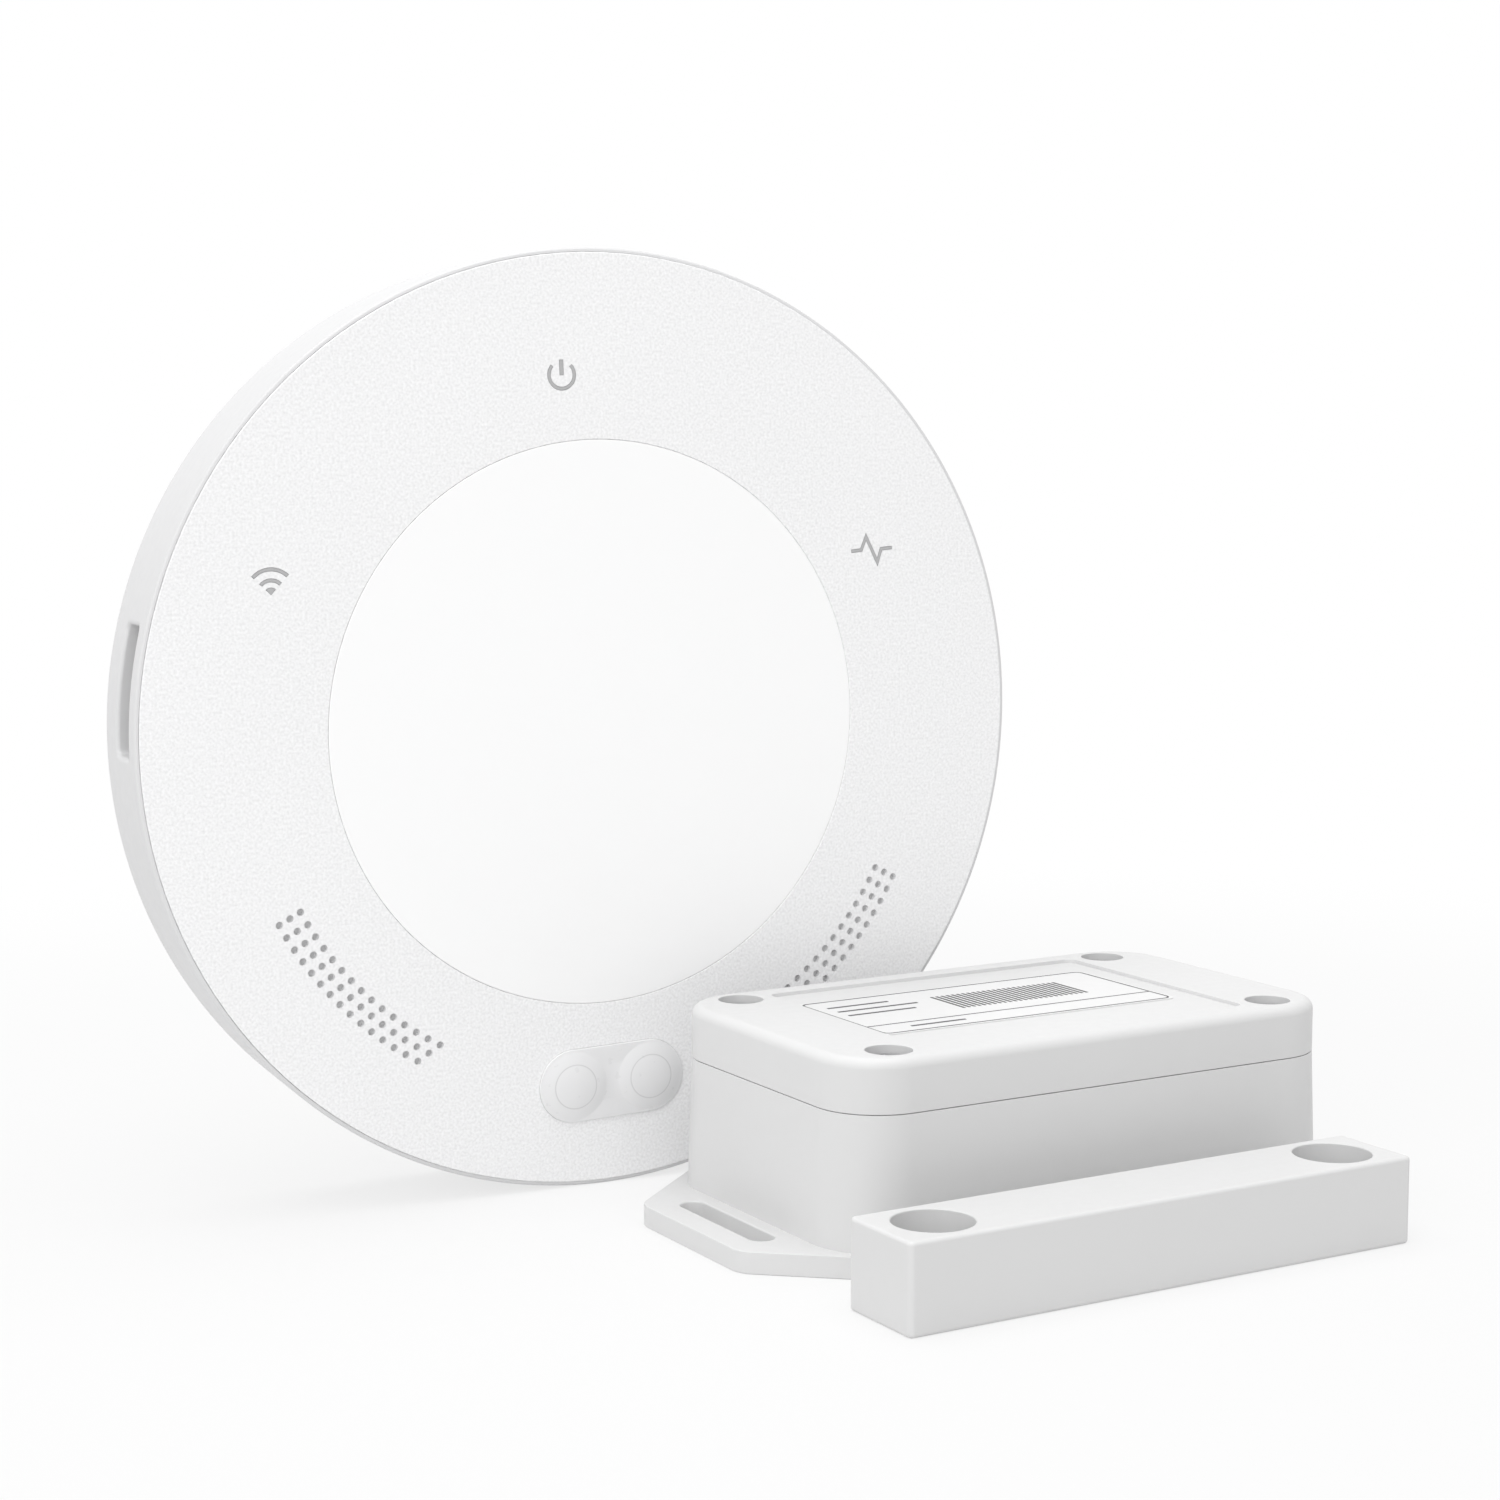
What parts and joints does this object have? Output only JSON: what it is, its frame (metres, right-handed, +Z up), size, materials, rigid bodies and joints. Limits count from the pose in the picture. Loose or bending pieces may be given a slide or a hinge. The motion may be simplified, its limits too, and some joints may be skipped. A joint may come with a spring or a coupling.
{
  "type": "garage door controller",
  "caption": "Garage door controller set: round wall hub with satin face ring, indicator marks, warning lens and sound grilles, with a flanged wireless door sensor and its magnet bar.",
  "frame": {"origin": "middle of the set's box, on the surface that the three units stand on", "axes": "+Z up; the hub faces -Y and stands on its rim; +X runs from the hub's side slot towards the sensor"},
  "size_m": [0.1574, 0.094, 0.1262],
  "materials": {
    "housing_white": "fine satin moulded plastic",
    "ring_satin": "finely speckled satin coating",
    "cap_gloss": "gloss white",
    "mark_grey": "grey translucent inlay",
    "lens_smoke": "smooth milky grey",
    "light_clear": "clear moulded resin",
    "cloth_pale": "fine acoustic cloth",
    "speaker_black": "matt black",
    "board_green": "solder-mask green",
    "screw_steel": "dull zinc-plated steel",
    "light_white": "matt phosphor",
    "shield_tin": "tinned shield",
    "antenna_black": "printed film",
    "relay_blue": "moulded blue",
    "can_dark": "sleeved can",
    "socket_white": "moulded off-white",
    "pin_gold": "gold flash",
    "switch_black": "moulded black",
    "button_grey": "moulded grey",
    "sensor_white": "satin moulded plastic",
    "seal_grey": "soft rubber",
    "label_white": "printed film",
    "reed_glass": "clear glass tube",
    "cell_wrap": "printed foil wrap",
    "magnet_dark": "bare sintered magnet"
  },
  "bodies": {
    "root": {"rim_housing": "housing_white", "face_ring": "ring_satin", "center_cap": "cap_gloss", "power_mark": "mark_grey", "radio_mark": "mark_grey", "activity_mark": "mark_grey", "warning_lens": "lens_smoke", "warning_lights": "light_clear", "left_grille_cloth": "cloth_pale", "right_grille_cloth": "cloth_pale", "left_speaker": "speaker_black", "right_speaker": "speaker_black", "main_board": "board_green", "board_screws": "screw_steel", "status_lights": "light_white", "radio_module": "shield_tin", "radio_antenna": "antenna_black", "door_relays": "relay_blue", "supply_capacitors": "can_dark", "side_socket": "socket_white", "socket_pins": "pin_gold", "reset_switch": "switch_black", "rear_cover": "housing_white", "cover_screws": "screw_steel", "sensor_base": "sensor_white", "sensor_lid": "sensor_white", "lid_screws": "screw_steel", "lid_seal": "seal_grey", "lid_label": "label_white", "sensor_board": "board_green", "sensor_board_screws": "screw_steel", "sensor_radio": "shield_tin", "sensor_light": "light_white", "reed_switch": "reed_glass", "pair_switch": "switch_black", "battery_holder": "switch_black", "battery_contacts": "screw_steel", "battery_cells": "cell_wrap"},
    "reset_button": {"reset_button": "button_grey"},
    "pair_button": {"pair_button": "button_grey"},
    "magnet": {"magnet_case": "sensor_white", "bar_magnet": "magnet_dark", "magnet_cover": "sensor_white"}
  },
  "joints": [
    {"name": "reset_press", "type": "slide", "parent": "root", "child": "reset_button", "axis": [0, -1, 0], "range_m": [0, 0.0005], "stiffness_N_per_m": 400},
    {"name": "pair_press", "type": "slide", "parent": "root", "child": "pair_button", "axis": [0, 0, -1], "range_m": [0, 0.0003], "stiffness_N_per_m": 400},
    {"name": "magnet_travel", "type": "slide", "parent": "root", "child": "magnet", "axis": [0.0732, -0.9973, 0], "range_m": [0, 0.04]}
  ]
}
